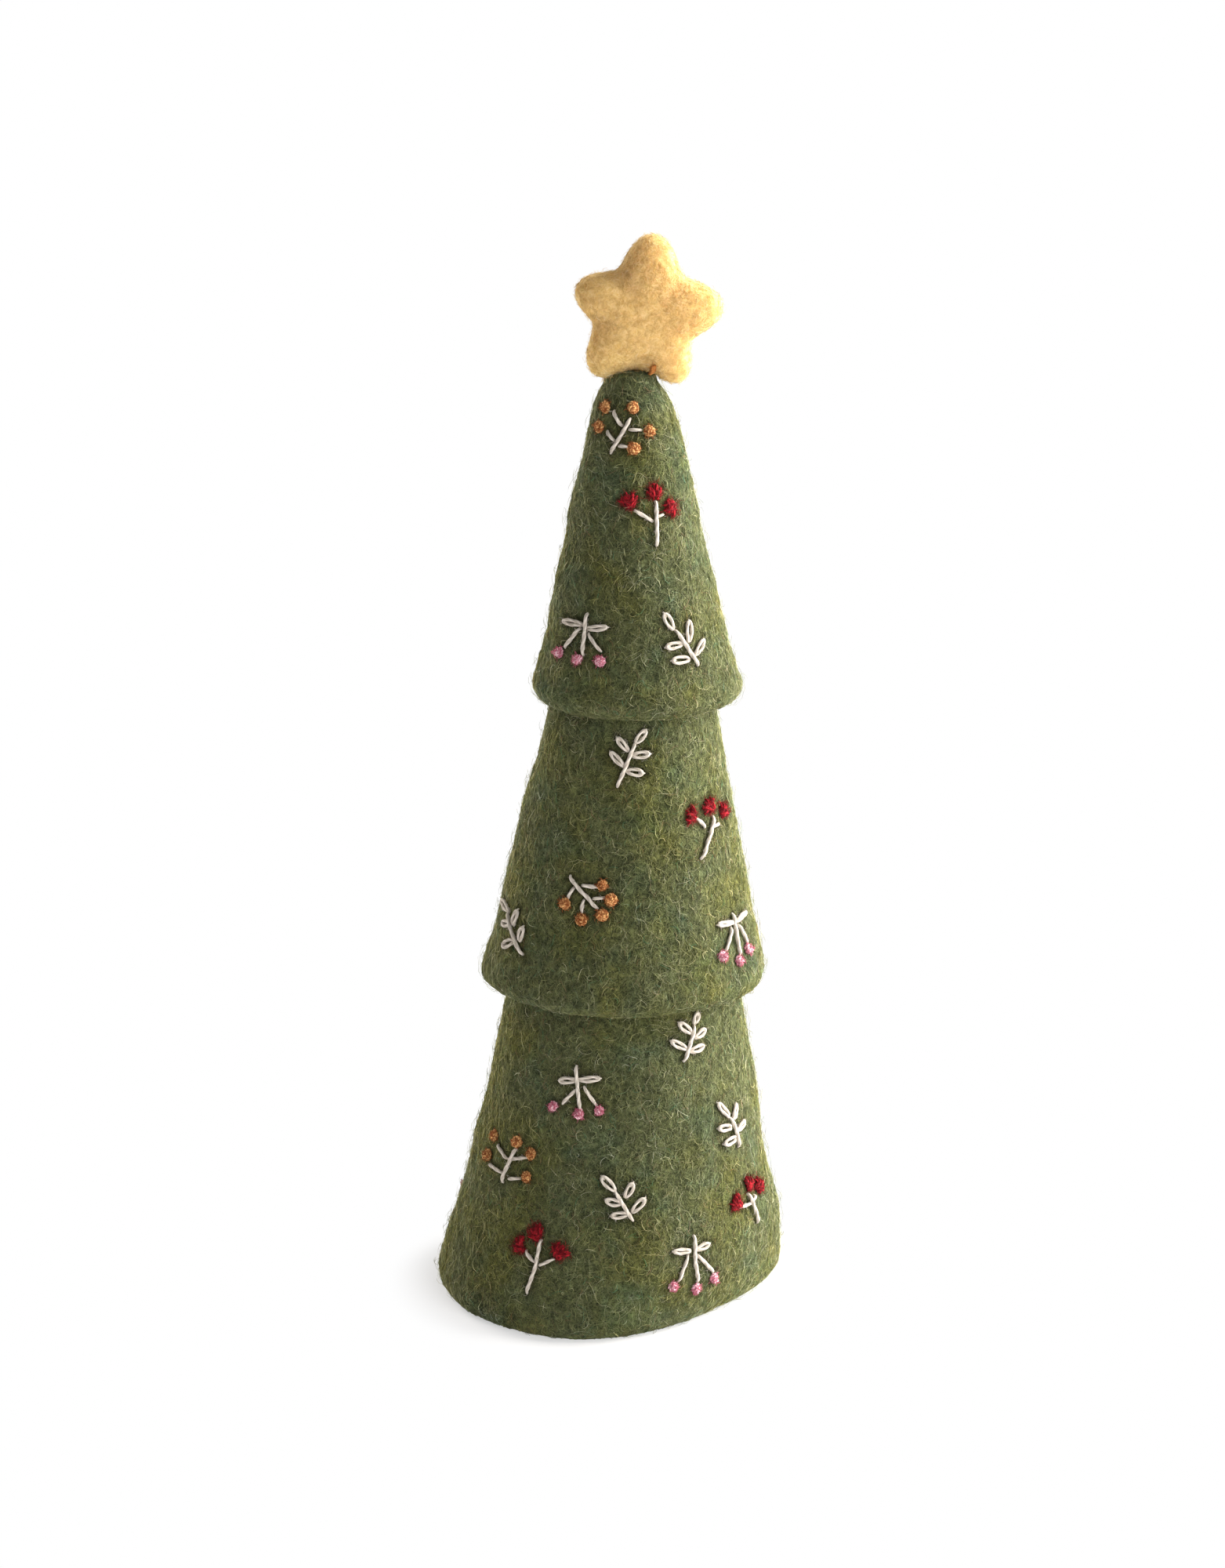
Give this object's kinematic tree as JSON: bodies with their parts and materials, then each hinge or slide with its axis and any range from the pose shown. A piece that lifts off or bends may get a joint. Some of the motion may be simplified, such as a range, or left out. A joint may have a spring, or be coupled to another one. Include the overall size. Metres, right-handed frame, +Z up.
{
  "type": "felt christmas tree",
  "caption": "Tabletop tree of felted wool: stacked bell-shaped green tiers with embroidered sprigs, a plump gold star on the tip and a flat sole.",
  "frame": {"origin": "middle of the flat sole's underside, on the surface that the tree stands on", "axes": "+Z up towards the star, the front with the visible sprigs faces -Y, +X to the viewer's right"},
  "size_m": [0.1063, 0.1076, 0.3277],
  "materials": {
    "green_felt": "matte, hairy wool felt",
    "gold_felt": "matte, hairy wool felt",
    "filling": "loose wool batting",
    "ivory_yarn": "soft twisted wool yarn",
    "orange_yarn": "soft twisted wool yarn",
    "pink_yarn": "soft twisted wool yarn",
    "crimson_yarn": "soft twisted wool yarn",
    "rust_yarn": "soft twisted wool yarn"
  },
  "bodies": {
    "root": {"felt_sole": "green_felt", "felt_star": "gold_felt", "lower_berry_sprig_1": "ivory_yarn", "lower_berry_sprig_1_berries": "orange_yarn", "lower_berry_sprig_2": "ivory_yarn", "lower_berry_sprig_2_berries": "orange_yarn", "lower_bud_sprig_1": "ivory_yarn", "lower_bud_sprig_1_buds": "crimson_yarn", "lower_bud_sprig_2": "ivory_yarn", "lower_bud_sprig_2_buds": "crimson_yarn", "lower_bud_sprig_3": "ivory_yarn", "lower_bud_sprig_3_buds": "crimson_yarn", "lower_cherry_sprig_1": "ivory_yarn", "lower_cherry_sprig_1_cherries": "pink_yarn", "lower_cherry_sprig_2": "ivory_yarn", "lower_cherry_sprig_2_cherries": "pink_yarn", "lower_cherry_sprig_3": "ivory_yarn", "lower_cherry_sprig_3_cherries": "pink_yarn", "lower_felt_tier": "green_felt", "lower_filling": "filling", "lower_leaf_sprig_1": "ivory_yarn", "lower_leaf_sprig_2": "ivory_yarn", "lower_leaf_sprig_3": "ivory_yarn", "lower_leaf_sprig_4": "ivory_yarn", "middle_berry_sprig_1": "ivory_yarn", "middle_berry_sprig_1_berries": "orange_yarn", "middle_bud_sprig_1": "ivory_yarn", "middle_bud_sprig_1_buds": "crimson_yarn", "middle_bud_sprig_2": "ivory_yarn", "middle_bud_sprig_2_buds": "crimson_yarn", "middle_cherry_sprig_1": "ivory_yarn", "middle_cherry_sprig_1_cherries": "pink_yarn", "middle_felt_tier": "green_felt", "middle_filling": "filling", "middle_leaf_sprig_1": "ivory_yarn", "middle_leaf_sprig_2": "ivory_yarn", "middle_leaf_sprig_3": "ivory_yarn", "star_tack_stitch": "rust_yarn", "upper_berry_sprig_1": "ivory_yarn", "upper_berry_sprig_1_berries": "orange_yarn", "upper_bud_sprig_1": "ivory_yarn", "upper_bud_sprig_1_buds": "crimson_yarn", "upper_cherry_sprig_1": "ivory_yarn", "upper_cherry_sprig_1_cherries": "pink_yarn", "upper_cherry_sprig_2": "ivory_yarn", "upper_cherry_sprig_2_cherries": "pink_yarn", "upper_felt_tier": "green_felt", "upper_filling": "filling", "upper_leaf_sprig_1": "ivory_yarn"}
  },
  "joints": []
}
